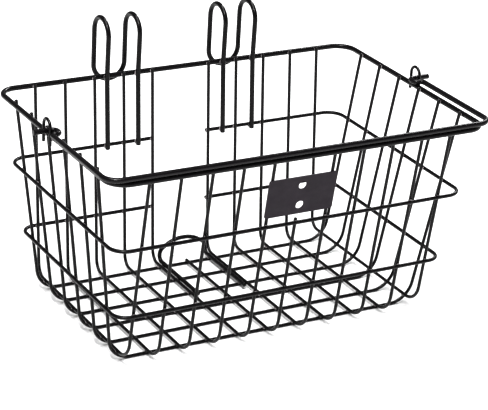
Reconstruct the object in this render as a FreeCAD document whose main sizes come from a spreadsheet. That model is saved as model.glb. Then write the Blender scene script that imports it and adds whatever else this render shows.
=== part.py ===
import FreeCAD, Part
import math
import os
import Sketcher
from FreeCAD import Placement, Rotation, Vector

# A lift-off handlebar basket of welded round wire. +X points to the right as seen from the front,
# -Y towards the front, which carries the plate, and +Z up. The origin is on the surface the basket
# stands on, at the middle of its whole outline. Every size is in millimetres.

DIMENSIONS = {
    # wire gauges and plate thickness
    "rim_gauge": 4.8,
    "ring_gauge": 3.4,
    "grid_gauge": 3.0,
    "hanger_gauge": 4.6,
    "brace_gauge": 4.0,
    "eye_gauge": 2.8,
    "bail_gauge": 4.8,
    "plate_thickness": 1.2,
    "weld_bite": 0.1,
    # rim
    "rim_half_length": 181.6,
    "rim_front": 130.45,
    "rim_rear": 107.45,
    "rim_height": 188.8,
    "rim_bend": 17.0,
    # walls: where each wall's wires would meet the flat bottom if they had no bend
    "base_front": 96.9,
    "base_rear": 88.5,
    "base_side": 152.1,
    "front_bend": 20.0,
    "rear_bend": 11.0,
    "length_bend": 22.0,
    "tip_drop": 0.4,
    # rings
    "upper_ring_height": 123.5,
    "lower_ring_height": 56.6,
    "upper_ring_bend": 15.0,
    "lower_ring_bend": 13.0,
    "ring_gap_half": 28.2,
    # spacing of the wires
    "cross_pitch": 29.3,
    "length_pitch": 30.3,
    "length_centre": 0.3,
    "side_pitch": 33.3,
    "side_centre": 10.3,
    "outer_cross_lift": 5.6,
    "centre_rear_end": 75.3,
    "centre_top_end": 126.0,
    # hangers
    "hanger_centre": 60.1,
    "hanger_half": 15.7,
    "tail_bend": 15.3,
    "tail_height": 192.1,
    "hook_rise": 49.3,
    "hook_bend": 15.0,
    "hook_depth": 30.5,
    "hook_lean": 1.2,
    "leg_drop": 71.0,
    # head-tube brace
    "brace_half": 24.3,
    "brace_plane": 84.4,
    "brace_shoulder": 5.2,
    "brace_shoulder_bend": 9.0,
    "brace_crown_half": 9.0,
    "brace_crown_bend": 28.0,
    "brace_rise": 14.4,
    "brace_foot_drop": 5.2,
    "brace_foot_bend": 5.0,
    "brace_reach": 79.5,
    # bail eyes
    "eye_centre": 9.45,
    "eye_half": 6.75,
    "eye_arch_bend": 6.6,
    "eye_arch_height": 8.6,
    "eye_leg_drop": 6.6,
    # bail handle
    "bail_rise": 5.2,
    "bail_front": 131.8,
    "bail_arm": 186.0,
    "bail_front_bend": 13.0,
    "bail_inward_bend": 3.4,
    "curl_bend": 4.6,
    "curl_half": 5.2,
    "curl_centre": 15.75,
    "curl_inside": 177.9,
    "bail_tip": 198.6,
    # front plate
    "plate_half_width": 33.3,
    "plate_half_height": 18.5,
    "plate_height": 150.6,
    "plate_hole_radius": 3.9,
    "plate_hole_pitch": 19.6,
    "plate_corner": 2.0,
}

CROSS_COUNT = 11
LENGTH_COUNT = 6

doc = FreeCAD.newDocument("HandlebarBasket")
sheet = doc.addObject("Spreadsheet::Sheet", "dims")
for row, (alias, value) in enumerate(DIMENSIONS.items(), start=1):
    sheet.set(f"A{row}", alias)
    sheet.set(f"B{row}", str(value))
    sheet.setAlias(f"B{row}", alias)
doc.recompute()

bodies = []


def size(alias):
    """The number behind one name of the sheet."""
    return float(sheet.get(alias))


# ---------------------------------------------------------------- sketch helpers

def origin_plane(body, role):
    """One of the body's own three origin planes."""
    return next(item for item in body.Origin.OriginFeatures if item.Role == role)


def new_body(label):
    """An empty body that becomes one kept piece."""
    body = doc.addObject("PartDesign::Body", label)
    body.Label = label
    bodies.append(body)
    return body


def new_sketch(body, name, role, lift=None):
    """A sketch on an origin plane, moved along the plane's normal by the expression lift."""
    sketch = body.newObject("Sketcher::SketchObject", f"{body.Label}_{name}")
    sketch.AttachmentSupport = [(origin_plane(body, role), "")]
    sketch.MapMode = "FlatFace"
    if lift:
        sketch.setExpression("AttachmentOffset.Base.z", lift)
    return sketch


def add_bound(sketch, expression, *constraint):
    """A dimension of the sketch that follows an expression."""
    index = sketch.addConstraint(Sketcher.Constraint(*constraint))
    sketch.setExpression(f"Constraints[{index}]", expression)


def pin_points(sketch, places):
    """Construction points held at the given pairs of expressions; returns ids and vectors."""
    ids = []
    for across, up in places:
        point = sketch.addGeometry(Part.Point(Vector(1, 1, 0)), True)
        add_bound(sketch, across, "DistanceX", -1, 1, point, 1, 1.0)
        add_bound(sketch, up, "DistanceY", -1, 1, point, 1, 1.0)
        ids.append(point)
    doc.recompute()
    return ids, [Vector(sketch.getPoint(point, 1)) for point in ids]


def add_bend(sketch, before, corner, after, radius):
    """The arc that rounds a corner; returns its id, its two ends and which end comes first."""
    into = (corner - before).normalize()
    out = (after - corner).normalize()
    turn = into.getAngle(out)
    trim = radius * math.tan(turn / 2)
    side = 1 if into.cross(out).z > 0 else -1
    start = corner - into * trim
    end = corner + out * trim
    centre = start + Vector(-into.y, into.x, 0) * radius * side
    first, last = (start, end) if side > 0 else (end, start)
    angles = [math.atan2(spot.y - centre.y, spot.x - centre.x) for spot in (first, last)]
    if angles[1] < angles[0]:
        angles[1] += 2 * math.pi
    circle = Part.Circle(centre, Vector(0, 0, 1), radius)
    arc = sketch.addGeometry(Part.ArcOfCircle(circle, *angles), False)
    return arc, start, end, (1, 2) if side > 0 else (2, 1)


def draw_route(sketch, places, bends):
    """A chain of straight runs through the places, rounded at each inner place by its bend."""
    ids, spots = pin_points(sketch, places)
    arcs = [add_bend(sketch, spots[i], spots[i + 1], spots[i + 2], size(bend))
            for i, bend in enumerate(bends)]
    starts = [spots[0]] + [arc[2] for arc in arcs]
    ends = [arc[1] for arc in arcs] + [spots[-1]]
    lines = [sketch.addGeometry(Part.LineSegment(a, b), False) for a, b in zip(starts, ends)]
    sketch.addConstraint(Sketcher.Constraint("Coincident", lines[0], 1, ids[0], 1))
    sketch.addConstraint(Sketcher.Constraint("Coincident", lines[-1], 2, ids[-1], 1))
    for i, (arc, _, _, (near, far)) in enumerate(arcs):
        sketch.addConstraint(Sketcher.Constraint("Tangent", lines[i], 2, arc, near))
        sketch.addConstraint(Sketcher.Constraint("Tangent", arc, far, lines[i + 1], 1))
        sketch.addConstraint(Sketcher.Constraint("PointOnObject", ids[i + 1], 1, lines[i]))
        sketch.addConstraint(Sketcher.Constraint("PointOnObject", ids[i + 1], 1, lines[i + 1]))
        add_bound(sketch, f"dims.{bends[i]}", "Radius", arc, size(bends[i]))


def draw_section(sketch, place, gauge):
    """The round section of a wire, centred at a pair of expressions."""
    ids, spots = pin_points(sketch, [place])
    radius = size(gauge) / 2
    circle = sketch.addGeometry(Part.Circle(spots[0], Vector(0, 0, 1), radius), False)
    sketch.addConstraint(Sketcher.Constraint("Coincident", circle, 3, ids[0], 1))
    add_bound(sketch, f"dims.{gauge} / 2", "Radius", circle, radius)


def sweep_wire(body, name, route, section):
    """A wire along the route's sketch."""
    doc.recompute()
    pipe = body.newObject("PartDesign::AdditivePipe", f"{body.Label}_{name}")
    pipe.Profile = section
    pipe.Spine = (route, [f"Edge{i + 1}" for i in range(len(route.Shape.Edges))])
    doc.recompute()
    return pipe


def mirror_wire(body, features, role):
    """The other half of a symmetric wire."""
    mirror = body.newObject("PartDesign::Mirrored", f"{body.Label}_mirror")
    mirror.Originals = features
    mirror.MirrorPlane = (origin_plane(body, role), [""])
    body.Tip = mirror
    doc.recompute()


# ---------------------------------------------------------------- shared expressions

BITE = "dims.weld_bite"
GRID_HEIGHT = "(dims.grid_gauge * 1.5 - dims.weld_bite)"


def wall_at(base, top, height):
    """How far out a wall's wire is at a height, between the bottom and the rim."""
    share = f"((({height}) - {GRID_HEIGHT}) / (dims.rim_height - {GRID_HEIGHT}))"
    inside = f"({top} - (dims.rim_gauge + dims.grid_gauge) / 2 + {BITE})"
    return f"({base} + ({inside} - {base}) * {share})"


def ring_at(base, top, height):
    """How far out a ring's wire is, welded on the outside of the wall."""
    return f"({wall_at(base, top, height)} + (dims.grid_gauge + dims.ring_gauge) / 2 - {BITE})"


def wall_number(base, top, height):
    """The same as wall_at, as a number."""
    level = size("grid_gauge") * 1.5 - size("weld_bite")
    inside = top - (size("rim_gauge") + size("grid_gauge")) / 2 + size("weld_bite")
    return base + (inside - base) * (height - level) / (size("rim_height") - level)


WIRE_TOP = "(dims.rim_height + dims.rim_gauge / 2 - dims.tip_drop)"


# ---------------------------------------------------------------- rim and rings

def make_rim():
    """The closed top frame, one half from the front's middle to the back's and its mirror."""
    body = new_body("rim")
    body.setExpression("Placement.Base.z", "dims.rim_height")
    route = new_sketch(body, "route", "XY_Plane")
    side = "dims.rim_half_length"
    draw_route(route, [("0", "-dims.rim_front"), (side, "-dims.rim_front"),
                       (side, "dims.rim_rear"), ("0", "dims.rim_rear")], ["rim_bend", "rim_bend"])
    section = new_sketch(body, "section", "YZ_Plane")
    draw_section(section, ("-dims.rim_front", "0"), "rim_gauge")
    mirror_wire(body, [sweep_wire(body, "half", route, section)], "YZ_Plane")


def make_ring(label, height, bend):
    """A ring round the walls, open at the back between the two middle uprights."""
    body = new_body(label)
    level = f"dims.{height}"
    body.setExpression("Placement.Base.z", level)
    side = ring_at("dims.base_side", "dims.rim_half_length", level)
    front = ring_at("dims.base_front", "dims.rim_front", level)
    rear = ring_at("dims.base_rear", "dims.rim_rear", level)
    route = new_sketch(body, "route", "XY_Plane")
    draw_route(route, [("0", f"-{front}"), (side, f"-{front}"), (side, rear),
                       ("dims.ring_gap_half", rear)], [bend, bend])
    section = new_sketch(body, "section", "YZ_Plane")
    draw_section(section, (f"-{front}", "0"), "ring_gauge")
    mirror_wire(body, [sweep_wire(body, "half", route, section)], "YZ_Plane")


# ---------------------------------------------------------------- grid

def make_cross_wire(number):
    """A wire from the back rim down, forward along the bottom and up to the front rim.

    The middle one is short: it starts at the rearmost bottom wire and ends below the plate. The
    outermost two lie on the bends of the bottom wires, so their bottom run is higher.
    """
    middle = (CROSS_COUNT + 1) // 2
    body = new_body(f"cross_wire_{number:02d}")
    body.setExpression("Placement.Base.x", f"dims.cross_pitch * {number - middle}")
    outermost = number in (1, CROSS_COUNT)
    low = f"({GRID_HEIGHT} + dims.outer_cross_lift)" if outermost else GRID_HEIGHT
    is_middle = number == middle
    front_top = "dims.centre_top_end" if is_middle else WIRE_TOP
    section = new_sketch(body, "section", "XZ_Plane")
    draw_section(section, ("0", low), "grid_gauge")
    front = new_sketch(body, "front_route", "YZ_Plane")
    draw_route(front, [("0", low),
                       (f"-{wall_at('dims.base_front', 'dims.rim_front', low)}", low),
                       (f"-{wall_at('dims.base_front', 'dims.rim_front', front_top)}", front_top)],
               ["front_bend"])
    sweep_wire(body, "front_run", front, section)
    rear = new_sketch(body, "rear_route", "YZ_Plane")
    if is_middle:
        draw_route(rear, [("0", low), ("dims.centre_rear_end", low)], [])
    else:
        draw_route(rear, [("0", low),
                          (wall_at("dims.base_rear", "dims.rim_rear", low), low),
                          (wall_at("dims.base_rear", "dims.rim_rear", WIRE_TOP), WIRE_TOP)],
                   ["rear_bend"])
    sweep_wire(body, "rear_run", rear, section)


def make_length_wire(number):
    """A wire from the left rim down, along the bottom and up to the right rim.

    Its plane leans, because the side wires are spread further apart at the rim than below.
    """
    body = new_body(f"length_wire_{number}")
    step = (LENGTH_COUNT + 1) / 2 - number
    bottom = -size("length_centre") + step * size("length_pitch")
    top = -size("side_centre") + step * size("side_pitch")
    low = size("grid_gauge") / 2
    rise = size("rim_height") - low
    lean = math.atan2(top - bottom, rise)
    body.Placement = Placement(Vector(0, bottom, low), Rotation(Vector(1, 0, 0), -math.degrees(lean)))
    stretch = f"{1 / math.cos(lean):.6f}"
    height = f"(({WIRE_TOP} - dims.grid_gauge / 2) * {stretch})"
    inside = f"(dims.rim_half_length - (dims.rim_gauge + dims.grid_gauge) / 2 + {BITE})"
    slope = f"(({inside} - dims.base_side) / ((dims.rim_height - dims.grid_gauge / 2) * {stretch}))"
    route = new_sketch(body, "route", "XZ_Plane")
    draw_route(route, [("0", "0"), ("dims.base_side", "0"),
                       (f"dims.base_side + {slope} * {height}", height)], ["length_bend"])
    section = new_sketch(body, "section", "YZ_Plane")
    draw_section(section, ("0", "0"), "grid_gauge")
    mirror_wire(body, [sweep_wire(body, "half", route, section)], "YZ_Plane")


# ---------------------------------------------------------------- fittings

def make_hanger(label, side):
    """Two hooks over the handlebar, made of one wire that joins them behind it.

    The legs follow the rear wall up to the rim and lean slightly forward above it.

    Local origin: the middle of the joining bend, level with the foot of the two rear limbs.
    """
    body = new_body(label)
    at_rim = wall_at("dims.base_rear", "dims.rim_rear", "dims.rim_height")
    inset = "((dims.hanger_gauge - dims.grid_gauge) / 2)"
    body.setExpression("Placement.Base.x", f"{side} * dims.hanger_centre")
    body.setExpression("Placement.Base.y",
                       f"{at_rim} - {inset} - dims.hook_lean + dims.hook_depth")
    body.setExpression("Placement.Base.z", "dims.tail_height")
    foot = wall_at("dims.base_rear", "dims.rim_rear", "dims.tail_height - dims.leg_drop")
    section = new_sketch(body, "section", "XY_Plane")
    draw_section(section, ("dims.hanger_half", "0"), "hanger_gauge")
    hook = new_sketch(body, "hook_route", "YZ_Plane", "dims.hanger_half")
    draw_route(hook, [("0", "0"), ("0", "dims.hook_rise"), ("-dims.hook_depth", "dims.hook_rise"),
                      ("-dims.hook_depth + dims.hook_lean", "dims.rim_height - dims.tail_height"),
                      (f"-dims.hook_depth + dims.hook_lean - {at_rim} + {foot}", "-dims.leg_drop")],
               ["hook_bend", "hook_bend", "hook_bend"])
    tail = new_sketch(body, "tail_route", "XZ_Plane")
    draw_route(tail, [("dims.hanger_half", "0"), ("dims.hanger_half", "-dims.hanger_half"),
                      ("0", "-dims.hanger_half")], ["tail_bend"])
    halves = [sweep_wire(body, "hook", hook, section), sweep_wire(body, "tail", tail, section)]
    mirror_wire(body, halves, "YZ_Plane")


def make_brace():
    """The loop that stands up at the back of the bottom and bears on the head tube.

    Local origin: the middle of the loop's plane, where its upright part starts.
    """
    body = new_body("head_tube_brace")
    leg_level = f"(dims.grid_gauge + dims.brace_gauge / 2 - {BITE})"
    body.setExpression("Placement.Base.y", "dims.brace_plane")
    body.setExpression("Placement.Base.z", f"{leg_level} + dims.brace_foot_drop")
    section = new_sketch(body, "section", "XY_Plane")
    draw_section(section, ("dims.brace_half", "0"), "brace_gauge")
    loop = new_sketch(body, "loop_route", "XZ_Plane")
    draw_route(loop, [("dims.brace_half", "0"), ("dims.brace_half", "dims.brace_shoulder"),
                      ("dims.brace_crown_half", "dims.brace_rise"), ("0", "dims.brace_rise")],
               ["brace_shoulder_bend", "brace_crown_bend"])
    leg = new_sketch(body, "leg_route", "YZ_Plane", "dims.brace_half")
    draw_route(leg, [("0", "0"), ("0", "-dims.brace_foot_drop"),
                     ("-dims.brace_reach", "-dims.brace_foot_drop")], ["brace_foot_bend"])
    halves = [sweep_wire(body, "loop", loop, section), sweep_wire(body, "leg", leg, section)]
    mirror_wire(body, halves, "YZ_Plane")


def make_eye(label, side):
    """A hairpin of wire welded outside the rim, in which the bail handle turns."""
    body = new_body(label)
    outside = f"(dims.rim_half_length + (dims.rim_gauge + dims.eye_gauge) / 2 - {BITE})"
    body.setExpression("Placement.Base.x", f"{side} * {outside}")
    body.setExpression("Placement.Base.y", "-dims.eye_centre")
    body.setExpression("Placement.Base.z", "dims.rim_height")
    top = "(dims.eye_arch_height + dims.eye_half)"
    route = new_sketch(body, "route", "YZ_Plane")
    draw_route(route, [("0", top), ("dims.eye_half", top), ("dims.eye_half", "-dims.eye_leg_drop")],
               ["eye_arch_bend"])
    section = new_sketch(body, "section", "XZ_Plane")
    draw_section(section, ("0", top), "eye_gauge")
    mirror_wire(body, [sweep_wire(body, "half", route, section)], "XZ_Plane")


def make_bail():
    """The carrying handle, folded forward on the rim, each end curled round its eye's front leg."""
    body = new_body("bail_handle")
    body.setExpression("Placement.Base.z", "dims.rim_height + dims.bail_rise")
    crossing = "-(dims.curl_centre + dims.curl_half)"
    tail = "-(dims.curl_centre - dims.curl_half)"
    route = new_sketch(body, "route", "XY_Plane")
    draw_route(route, [("0", "-dims.bail_front"), ("dims.bail_arm", "-dims.bail_front"),
                       ("dims.bail_arm", crossing), ("dims.curl_inside", crossing),
                       ("dims.curl_inside", tail), ("dims.bail_tip", tail)],
               ["bail_front_bend", "bail_inward_bend", "curl_bend", "curl_bend"])
    section = new_sketch(body, "section", "YZ_Plane")
    draw_section(section, ("-dims.bail_front", "0"), "bail_gauge")
    mirror_wire(body, [sweep_wire(body, "half", route, section)], "YZ_Plane")


def make_plate():
    """The flat plate welded across the front, with two holes for a light or reflector."""
    body = new_body("front_plate")
    front = size("rim_front")
    low, high = size("plate_height") - 1, size("plate_height") + 1
    outs = [wall_number(size("base_front"), front, level) for level in (low, high)]
    lean = math.atan2(outs[1] - outs[0], high - low)
    proud = (size("grid_gauge") / 2 - size("weld_bite")) / math.cos(lean)
    middle = (outs[0] + outs[1]) / 2 + proud
    outline = new_sketch(body, "outline", "XZ_Plane")
    wide, tall = size("plate_half_width"), size("plate_half_height")
    corners = [Vector(-wide, -tall, 0), Vector(wide, -tall, 0), Vector(wide, tall, 0),
               Vector(-wide, tall, 0)]
    lines = [outline.addGeometry(Part.LineSegment(corners[i], corners[(i + 1) % 4]), False)
             for i in range(4)]
    for i in range(4):
        outline.addConstraint(Sketcher.Constraint("Coincident", lines[i], 2, lines[(i + 1) % 4], 1))
    for i in (0, 2):
        outline.addConstraint(Sketcher.Constraint("Horizontal", lines[i]))
        outline.addConstraint(Sketcher.Constraint("Vertical", lines[i + 1]))
    add_bound(outline, "-dims.plate_half_width", "DistanceX", -1, 1, lines[0], 1, -wide)
    add_bound(outline, "-dims.plate_half_height", "DistanceY", -1, 1, lines[0], 1, -tall)
    add_bound(outline, "dims.plate_half_width", "DistanceX", -1, 1, lines[2], 1, wide)
    add_bound(outline, "dims.plate_half_height", "DistanceY", -1, 1, lines[2], 1, tall)
    radius = size("plate_hole_radius")
    for sign in (-1, 1):
        place = Vector(0, sign * size("plate_hole_pitch") / 2, 0)
        hole = outline.addGeometry(Part.Circle(place, Vector(0, 0, 1), radius), False)
        outline.addConstraint(Sketcher.Constraint("PointOnObject", hole, 3, -2))
        add_bound(outline, f"{sign} * dims.plate_hole_pitch / 2", "DistanceY", -1, 1, hole, 3, place.y)
        add_bound(outline, "dims.plate_hole_radius", "Radius", hole, radius)
    doc.recompute()
    pad = body.newObject("PartDesign::Pad", "front_plate_pad")
    pad.Profile = outline
    pad.setExpression("Length", "dims.plate_thickness")
    doc.recompute()
    upright = [f"Edge{i + 1}" for i, edge in enumerate(pad.Shape.Edges)
               if edge.Curve.TypeId == "Part::GeomLine" and abs(edge.tangentAt(edge.FirstParameter).y) > 0.9
               and abs(abs(edge.CenterOfMass.x) - wide) < 0.01]
    rounding = body.newObject("PartDesign::Fillet", "front_plate_corners")
    rounding.Base = (pad, upright)
    rounding.setExpression("Radius", "dims.plate_corner")
    body.Placement = Placement(Vector(0, -middle, size("plate_height")),
                               Rotation(Vector(1, 0, 0), math.degrees(lean)))
    doc.recompute()


make_rim()
make_ring("upper_ring", "upper_ring_height", "upper_ring_bend")
make_ring("lower_ring", "lower_ring_height", "lower_ring_bend")
for cross_number in range(1, CROSS_COUNT + 1):
    make_cross_wire(cross_number)
for length_number in range(1, LENGTH_COUNT + 1):
    make_length_wire(length_number)
make_hanger("left_hanger", -1)
make_hanger("right_hanger", 1)
make_brace()
make_eye("left_bail_eye", -1)
make_eye("right_bail_eye", 1)
make_bail()
make_plate()
doc.recompute()

# ---------------------------------------------------------------- tests and files

for item in doc.Objects:
    if "Invalid" in item.State or "Error" in item.State:
        raise RuntimeError(f"{item.Label} failed: {item.State}")
for body in bodies:
    if body.Shape.isNull() or not body.Shape.isValid() or len(body.Shape.Solids) != 1:
        raise RuntimeError(f"{body.Label} is not one valid solid")

os.makedirs("parts", exist_ok=True)
whole = FreeCAD.BoundBox()
for body in bodies:
    body.Shape.exportStep(f"parts/{body.Label}.step")
    whole.add(body.Shape.BoundBox)
    box = body.Shape.BoundBox
    print(f"{body.Label:18s} {body.Shape.Volume:9.1f} mm3  x {box.XMin:7.1f} {box.XMax:7.1f}"
          f"  y {box.YMin:7.1f} {box.YMax:7.1f}  z {box.ZMin:6.1f} {box.ZMax:6.1f}")
print(f"whole: x {whole.XMin:.2f} {whole.XMax:.2f}  y {whole.YMin:.2f} {whole.YMax:.2f}"
      f"  z {whole.ZMin:.2f} {whole.ZMax:.2f}")
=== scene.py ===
import math
import random

import bmesh
import bpy
from mathutils import Matrix, Vector


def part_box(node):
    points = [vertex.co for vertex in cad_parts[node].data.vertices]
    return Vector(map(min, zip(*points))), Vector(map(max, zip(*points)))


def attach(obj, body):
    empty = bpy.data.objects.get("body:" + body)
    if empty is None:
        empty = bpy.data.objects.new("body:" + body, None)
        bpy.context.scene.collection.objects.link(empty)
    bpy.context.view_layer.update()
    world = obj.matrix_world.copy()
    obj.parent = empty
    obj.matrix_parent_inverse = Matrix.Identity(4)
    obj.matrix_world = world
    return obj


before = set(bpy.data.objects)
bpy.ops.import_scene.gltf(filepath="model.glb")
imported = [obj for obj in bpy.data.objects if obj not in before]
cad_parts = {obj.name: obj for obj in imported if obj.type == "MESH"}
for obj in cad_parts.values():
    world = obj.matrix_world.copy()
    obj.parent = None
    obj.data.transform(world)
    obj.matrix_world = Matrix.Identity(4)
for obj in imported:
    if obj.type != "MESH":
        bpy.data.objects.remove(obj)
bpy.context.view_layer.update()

MM = 0.001
random.seed(7)

# wire gauges
GRID = 3.0 * MM          # the wires that make the walls and the bottom
RING = 3.4 * MM          # the two rings
HANGER = 4.6 * MM        # the hooks
BRACE = 4.0 * MM         # the rear loop
EYE = 2.8 * MM           # the handle's eyes

# weld nuggets: half their width, and how thick they are from the middle
RIM_WELD = (1.9 * MM, 1.0 * MM)
RING_WELD = (1.9 * MM, 0.85 * MM)
BOTTOM_WELD = (2.1 * MM, 0.9 * MM)
HANGER_WELD = (2.9 * MM, 1.1 * MM)
EYE_WELD = (2.2 * MM, 1.0 * MM)
PLATE_WELD = (2.2 * MM, 0.8 * MM)
PLATE_WELD_SHARES = (0.18, 0.5, 0.82)   # up the plate's height

# how far the rounded ends of the wires stand out
WIRE_CAP = 0.8 * MM
RING_CAP = 0.5 * MM
HANGER_CAP = 1.0 * MM

# reading the wires' meshes
MERGE = 0.001 * MM       # vertices closer than this are one
SAME_PLANE = 0.99999     # least dot product of the normals in one flat face
DISC_SLACK = 0.06        # how far a cut end's area may be from a true disc's
BOTTOM_REACH = 14 * MM   # a wire higher than this over a bottom wire isn't lying on it
BEND_FROM = 0.14         # beyond this the bottom wires turn up
BEND_STEPS, BEND_STEP = 9, 1.5 * MM

# powder coat: noise scales per metre, and how high its bumps are
TONE_AND_GLINT_SCALE, PATCH_SCALE, PEEL_SCALE, GRAIN_SCALE = 55.0, 160.0, 900.0, 2600.0
PEEL_HEIGHT, GRAIN_HEIGHT, GRAIN_SHARE = 0.00012, 0.00004, 0.6

CROSS = [f"cross_wire_{i:02d}" for i in range(1, 12)]
LENGTH = [f"length_wire_{i}" for i in range(1, 7)]


# ---------------------------------------------------------------- materials

def new_material(name):
    """A node material with its shader and a place to hang textures from."""
    material = bpy.data.materials.new(name)
    material.use_nodes = True
    tree = material.node_tree
    shader = next(node for node in tree.nodes if node.type == "BSDF_PRINCIPLED")
    place = tree.nodes.new("ShaderNodeTexCoord").outputs["Object"]
    return material, tree, shader, place


def noise(tree, place, scale, detail=3.0, rough=0.5):
    """Noise of the given scale per metre, as a factor."""
    node = tree.nodes.new("ShaderNodeTexNoise")
    node.inputs["Scale"].default_value = scale
    node.inputs["Detail"].default_value = detail
    node.inputs["Roughness"].default_value = rough
    tree.links.new(place, node.inputs["Vector"])
    return node.outputs["Fac"]


def spread(tree, factor, low, high):
    """A factor's middle stretched to the range from low to high."""
    node = tree.nodes.new("ShaderNodeMapRange")
    node.inputs["From Min"].default_value = 0.3
    node.inputs["From Max"].default_value = 0.7
    node.inputs["To Min"].default_value = low
    node.inputs["To Max"].default_value = high
    tree.links.new(factor, node.inputs["Value"])
    return node.outputs["Result"]


def ramp(tree, factor, stops):
    """A colour ramp over a factor."""
    node = tree.nodes.new("ShaderNodeValToRGB")
    node.color_ramp.elements[0].position, node.color_ramp.elements[0].color = stops[0]
    node.color_ramp.elements[1].position, node.color_ramp.elements[1].color = stops[-1]
    for position, colour in stops[1:-1]:
        node.color_ramp.elements.new(position).color = colour
    tree.links.new(factor, node.inputs["Fac"])
    return node.outputs["Color"]


def bump(tree, shader, height, strength, distance, below=None):
    """Adds a bump to the shader, on top of one below it."""
    node = tree.nodes.new("ShaderNodeBump")
    node.inputs["Strength"].default_value = strength
    node.inputs["Distance"].default_value = distance
    tree.links.new(height, node.inputs["Height"])
    if below:
        tree.links.new(below, node.inputs["Normal"])
    tree.links.new(node.outputs["Normal"], shader.inputs["Normal"])
    return node.outputs["Normal"]


def powder_coat(name, dark, light, gloss, grain, shine):
    """Semi-gloss powder coat: orange-peel surface, duller and shinier patches, and a colour that wanders by
    noise from dark to light: faint on the wires, pale painted highlights on the welds.
    """
    material, tree, shader, place = new_material(name)
    # colour noise: a faint wander in tone on the wires, patches of painted highlight on the welds
    tone_and_glint_noise = noise(tree, place, TONE_AND_GLINT_SCALE)
    tone = ramp(tree, tone_and_glint_noise, [(0.35, (*dark, 1)), (0.65, (*light, 1))])
    tree.links.new(tone, shader.inputs["Base Color"])
    tree.links.new(spread(tree, noise(tree, place, PATCH_SCALE), *gloss), shader.inputs["Roughness"])
    shader.inputs["Specular IOR Level"].default_value = shine
    peel = noise(tree, place, PEEL_SCALE, detail=2.0)
    first = bump(tree, shader, peel, grain, PEEL_HEIGHT)
    fine = noise(tree, place, GRAIN_SCALE, detail=1.0)
    bump(tree, shader, fine, grain * GRAIN_SHARE, GRAIN_HEIGHT, first)
    return material


WIRE_COAT = powder_coat("wire_powder_coat", dark=(0.0030, 0.0025, 0.0031), light=(0.0060, 0.0050, 0.0060),
                        gloss=(0.20, 0.30), grain=0.35, shine=0.26)
HANDLE_COAT = powder_coat("handle_powder_coat", dark=(0.0040, 0.0033, 0.0043),
                          light=(0.0080, 0.0066, 0.0080), gloss=(0.18, 0.27), grain=0.30, shine=0.32)
PLATE_COAT = powder_coat("plate_powder_coat", dark=(0.016, 0.0105, 0.0170), light=(0.022, 0.0150, 0.0230),
                         gloss=(0.50, 0.62), grain=0.45, shine=0.35)
# painted highlights: the weld coat runs from black to a pale grey, glints painted onto the nuggets where
# the black coat would only shine
WELD_COAT_WITH_PAINTED_GLINTS = powder_coat("weld_coat_with_painted_glints", dark=(0.010, 0.009, 0.010), light=(0.42, 0.38, 0.39),
                        gloss=(0.16, 0.30), grain=0.60, shine=0.80)

for name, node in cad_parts.items():
    coat = {"front_plate": PLATE_COAT, "bail_handle": HANDLE_COAT}.get(name, WIRE_COAT)
    node.data.materials.clear()
    node.data.materials.append(coat)


# ---------------------------------------------------------------- reading the frame

def node_mesh(node):
    """A copy of a CAD piece's mesh to read, with its vertices joined."""
    mesh = bmesh.new()
    mesh.from_mesh(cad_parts[node].data)
    bmesh.ops.remove_doubles(mesh, verts=mesh.verts, dist=MERGE)
    return mesh


def slices(node, point, normal):
    """Where a plane cuts a wire: the middle of each cut, in a fixed order."""
    mesh = node_mesh(node)
    cut = bmesh.ops.bisect_plane(mesh, geom=mesh.verts[:] + mesh.edges[:] + mesh.faces[:],
                                 plane_co=point, plane_no=normal, dist=MERGE)["geom_cut"]
    left = {item for item in cut if isinstance(item, bmesh.types.BMVert)}
    joined = {item for item in cut if isinstance(item, bmesh.types.BMEdge)}
    middles = []
    while left:
        loop, todo = [], [left.pop()]
        while todo:
            vert = todo.pop()
            loop.append(vert.co.copy())
            for edge in vert.link_edges:
                other = edge.other_vert(vert)
                if edge in joined and other in left:
                    left.remove(other)
                    todo.append(other)
        low = Vector(min(spot[i] for spot in loop) for i in range(3))
        high = Vector(max(spot[i] for spot in loop) for i in range(3))
        middles.append((low + high) / 2)
    mesh.free()
    return sorted(middles, key=tuple)


def flat_ends(node, radius):
    """The flat cut ends of a wire: each end's middle and the way it faces."""
    mesh = node_mesh(node)
    mesh.faces.ensure_lookup_table()
    left, ends = set(range(len(mesh.faces))), []
    while left:
        todo, patch = [min(left)], []
        left.remove(todo[0])
        while todo:
            face = mesh.faces[todo.pop()]
            patch.append(face)
            for other in (near for edge in face.edges for near in edge.link_faces):
                if other.index in left and other.normal.dot(face.normal) > SAME_PLANE:
                    left.remove(other.index)
                    todo.append(other.index)
        area = sum(face.calc_area() for face in patch)
        middle = sum((face.calc_center_median() * face.calc_area() for face in patch), Vector()) / area
        round_enough = abs(area / (math.pi * radius ** 2) - 1) < DISC_SLACK
        if round_enough and all((face.calc_center_median() - middle).length < radius for face in patch):
            ends.append((middle, patch[0].normal.copy()))
    mesh.free()
    return ends


# ---------------------------------------------------------------- welds and wire ends

def turn_to(direction):
    """The rotation that takes +Z to a direction."""
    return direction.to_track_quat("Z", "Y").to_matrix().to_4x4()


def new_piece(name, mesh, material, body="root"):
    """A finished mesh as a piece of the basket."""
    data = bpy.data.meshes.new(name)
    for face in mesh.faces:
        face.smooth = True
    mesh.to_mesh(data)
    mesh.free()
    piece = bpy.data.objects.new(name, data)
    bpy.context.scene.collection.objects.link(piece)
    data.materials.append(material)
    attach(piece, body)
    return piece


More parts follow.
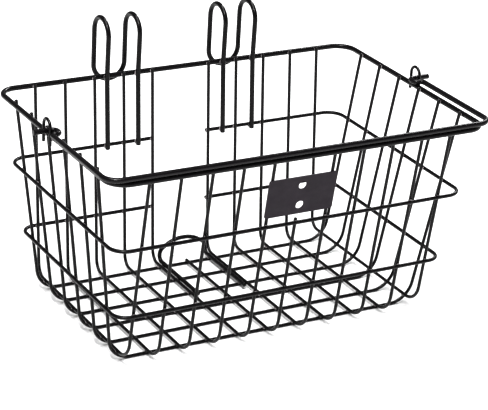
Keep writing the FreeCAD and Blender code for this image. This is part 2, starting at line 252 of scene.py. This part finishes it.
def add_nugget(mesh, spot, direction, weld):
    """A weld nugget: a flattened, slightly uneven bead between two crossed wires."""
    width, thickness = weld
    ball = bmesh.ops.create_uvsphere(mesh, u_segments=14, v_segments=9, radius=1.0)["verts"]
    stretch = Vector((width * random.uniform(0.9, 1.1), width * random.uniform(0.9, 1.1),
                      thickness * random.uniform(0.9, 1.15)))
    phase = random.uniform(0, 2 * math.pi)
    twist = Matrix.Rotation(phase, 4, "Z")
    for vert in ball:
        around = math.atan2(vert.co.y, vert.co.x)
        swell = 1 + 0.07 * math.sin(3 * around + phase) + 0.05 * math.sin(5 * around - 2 * phase)
        vert.co = Vector((vert.co.x * stretch.x * swell, vert.co.y * stretch.y * swell,
                          vert.co.z * stretch.z))
    bmesh.ops.transform(mesh, matrix=Matrix.Translation(spot) @ turn_to(direction) @ twist, verts=ball)


def add_dome(mesh, middle, direction, radius, height):
    """A rounded cap over a wire's cut end."""
    rings, around = 5, 24
    place = Matrix.Translation(middle) @ turn_to(direction)
    rows = []
    for ring in range(rings):
        angle = ring / rings * math.pi / 2
        rows.append([mesh.verts.new(place @ Vector((radius * math.cos(angle) * math.cos(turn),
                                                    radius * math.cos(angle) * math.sin(turn),
                                                    height * math.sin(angle))))
                     for turn in (2 * math.pi * i / around for i in range(around))])
    top = mesh.verts.new(place @ Vector((0, 0, height)))
    foot = mesh.verts.new(place @ Vector((0, 0, -height / 2)))
    for low, high in zip(rows, rows[1:]):
        for i in range(around):
            mesh.faces.new((low[i], low[(i + 1) % around], high[(i + 1) % around], high[i]))
    for i in range(around):
        mesh.faces.new((rows[-1][i], rows[-1][(i + 1) % around], top))
        mesh.faces.new((rows[0][(i + 1) % around], rows[0][i], foot))


def middle_height(node):
    low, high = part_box(node)
    return (low.z + high.z) / 2


def outward(spot, node):
    """The way out of the basket through the wall that a wire's cut lies in."""
    if node in LENGTH:
        return Vector((math.copysign(1, spot.x), 0, 0))
    return Vector((0, math.copysign(1, spot.y), 0))


def level_welds(height, weld):
    """Welds between the upright wires and a ring or the rim outside them, at one height."""
    mesh = bmesh.new()
    for node in CROSS + LENGTH:
        for spot in slices(node, Vector((0, 0, height)), Vector((0, 0, 1))):
            way = outward(spot, node)
            add_nugget(mesh, spot + way * GRID / 2, way, weld)
    return mesh


def nearest_on(node, spot):
    """The point of a wire's middle line nearest to a spot beside it."""
    middles = [spot + Vector((0, 0, -1))]
    for step in range(BEND_STEPS if abs(spot.x) > BEND_FROM else 1):
        beside = spot + Vector((math.copysign(step * BEND_STEP, spot.x), 0, 0))
        middles += slices(node, beside, Vector((1, 0, 0)))
    return min(middles, key=lambda middle: (middle - spot).length)


def bottom_welds():
    """Welds where the cross wires and the brace's legs lie on the bottom wires."""
    mesh = bmesh.new()
    runs = {node: slices(node, Vector(), Vector((1, 0, 0)))[0] for node in LENGTH}
    for node in CROSS + ["head_tube_brace"]:
        radius = BRACE / 2 if node == "head_tube_brace" else GRID / 2
        for length, run in runs.items():
            for spot in slices(node, run, Vector((0, 1, 0))):
                if spot.z > run.z + BOTTOM_REACH:
                    continue
                way = nearest_on(length, spot) - spot
                if way.length < radius + GRID / 2 + 0.5 * MM:
                    way.normalize()
                    add_nugget(mesh, spot + way * radius, way, BOTTOM_WELD)
    return mesh


RIM_HEIGHT = middle_height("rim")
UPPER_HEIGHT = middle_height("upper_ring")
LOWER_HEIGHT = middle_height("lower_ring")
HANGERS = ["left_hanger", "right_hanger"]
EYES = ["left_bail_eye", "right_bail_eye"]

new_piece("rim_welds", level_welds(RIM_HEIGHT, RIM_WELD), WELD_COAT_WITH_PAINTED_GLINTS)
new_piece("upper_ring_welds", level_welds(UPPER_HEIGHT, RING_WELD), WELD_COAT_WITH_PAINTED_GLINTS)
new_piece("lower_ring_welds", level_welds(LOWER_HEIGHT, RING_WELD), WELD_COAT_WITH_PAINTED_GLINTS)
new_piece("bottom_welds", bottom_welds(), WELD_COAT_WITH_PAINTED_GLINTS)


def hanger_welds():
    """Welds between the hangers' legs and the rim and upper ring."""
    mesh = bmesh.new()
    for node in HANGERS:
        for height in (RIM_HEIGHT, UPPER_HEIGHT):
            legs = [spot for spot in slices(node, Vector((0, 0, height)), Vector((0, 0, 1)))
                    if spot.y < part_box("rim")[1].y]
            for spot in legs:
                way = Vector((0, 1, 0))
                add_nugget(mesh, spot + way * HANGER / 2, way, HANGER_WELD)
    return mesh


def eye_welds():
    """Welds between the handle's eyes and the rim."""
    mesh = bmesh.new()
    for node in EYES:
        for spot in slices(node, Vector((0, 0, RIM_HEIGHT)), Vector((0, 0, 1))):
            way = Vector((-math.copysign(1, spot.x), 0, 0))
            add_nugget(mesh, spot + way * EYE / 2, way, EYE_WELD)
    return mesh


def plate_welds():
    """Short weld runs behind the plate, on both sides of the two uprights that carry it."""
    mesh = bmesh.new()
    low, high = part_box("front_plate")
    for node in ("cross_wire_05", "cross_wire_07"):
        for share in PLATE_WELD_SHARES:
            height = low.z + (high.z - low.z) * share
            for spot in slices(node, Vector((0, 0, height)), Vector((0, 0, 1))):
                if spot.y < 0:
                    way = Vector((0, -1, 0))
                    add_nugget(mesh, spot + way * GRID * 0.45, way, PLATE_WELD)
    return mesh


def end_caps(nodes, radius, height):
    """Rounded caps on the wires' cut ends."""
    mesh = bmesh.new()
    for node in nodes:
        for middle, way in flat_ends(node, radius):
            add_dome(mesh, middle, way, radius, height)
    return mesh


new_piece("hanger_welds", hanger_welds(), WELD_COAT_WITH_PAINTED_GLINTS)
new_piece("eye_welds", eye_welds(), WELD_COAT_WITH_PAINTED_GLINTS)
new_piece("plate_welds", plate_welds(), WELD_COAT_WITH_PAINTED_GLINTS)
new_piece("grid_ends", end_caps(CROSS + LENGTH, GRID / 2, WIRE_CAP), WIRE_COAT)
new_piece("eye_ends", end_caps(EYES, EYE / 2, WIRE_CAP), WIRE_COAT)
new_piece("ring_ends", end_caps(["upper_ring", "lower_ring"], RING / 2, RING_CAP), WIRE_COAT)
new_piece("hanger_ends", end_caps(HANGERS, HANGER / 2, HANGER_CAP), WIRE_COAT)
new_piece("brace_ends", end_caps(["head_tube_brace"], BRACE / 2, WIRE_CAP), WIRE_COAT)


# ---------------------------------------------------------------- floor, light and camera

def add_floor():
    """A plain, nearly white floor."""
    bpy.ops.mesh.primitive_plane_add(size=12.0, location=(0, 0, 0))
    floor = bpy.context.active_object
    floor.name = "floor"
    material, tree, shader, place = new_material("pale_floor")
    tone = ramp(tree, noise(tree, place, 3.0), [(0.4, (0.90, 0.90, 0.90, 1)), (0.6, (0.92, 0.92, 0.92, 1))])
    tree.links.new(tone, shader.inputs["Base Color"])
    shader.inputs["Roughness"].default_value = 0.9
    shader.inputs["Specular IOR Level"].default_value = 0.1
    floor.data.materials.append(material)


def add_area(name, place, target, width, height, power):
    """A soft rectangular light aimed at a point."""
    light = bpy.data.lights.new(name, "AREA")
    light.shape = "RECTANGLE"
    light.size, light.size_y, light.energy = width, height, power
    lamp = bpy.data.objects.new(name, light)
    lamp.location = place
    lamp.rotation_mode = "QUATERNION"
    lamp.rotation_quaternion = (Vector(target) - Vector(place)).to_track_quat("-Z", "Y")
    bpy.context.scene.collection.objects.link(lamp)


def add_ceiling(strength):
    """A very wide soft light from overhead."""
    light = bpy.data.lights.new("ceiling", "SUN")
    light.energy = strength
    light.angle = math.radians(45)
    lamp = bpy.data.objects.new("ceiling", light)
    lamp.rotation_euler = (math.radians(6), math.radians(-5), 0)
    bpy.context.scene.collection.objects.link(lamp)


def add_world(strength):
    """Even white light from everywhere."""
    world = bpy.data.worlds.new("studio")
    world.use_nodes = True
    back = next(node for node in world.node_tree.nodes if node.type == "BACKGROUND")
    back.inputs["Color"].default_value = (1, 1, 1, 1)
    back.inputs["Strength"].default_value = strength
    bpy.context.scene.world = world


def add_camera():
    """Seen from the front left and above, with a long lens and a slight roll."""
    yaw, pitch, roll = math.radians(30.16), math.radians(23.21), math.radians(3.30)
    forward = Vector((math.sin(yaw) * math.cos(pitch), math.cos(yaw) * math.cos(pitch), -math.sin(pitch)))
    level = Vector((math.cos(yaw), -math.sin(yaw), 0))
    above = level.cross(forward)
    right = level * math.cos(roll) + above * math.sin(roll)
    up = right.cross(forward)
    data = bpy.data.cameras.new("camera")
    data.sensor_width = 36.0
    data.lens = 153.89
    data.clip_start, data.clip_end = 0.05, 30.0
    camera = bpy.data.objects.new("camera", data)
    camera.matrix_world = Matrix((right, up, -forward)).transposed().to_4x4()
    camera.location = (-0.8608, -1.5089, 0.8374)
    bpy.context.scene.collection.objects.link(camera)
    bpy.context.scene.camera = camera


add_floor()
add_world(0.28)
add_ceiling(2.9)
add_area("key", place=(-0.9, -1.1, 2.2), target=(0, 0, 0.1), width=0.35, height=0.35, power=45)
add_area("rim_light", place=(1.4, 1.0, 1.5), target=(0, 0, 0.1), width=0.3, height=0.9, power=22)
add_camera()

view = bpy.context.scene.view_settings
view.view_transform = "Standard"
view.look = "None"
view.exposure = 0.0
view.gamma = 0.8
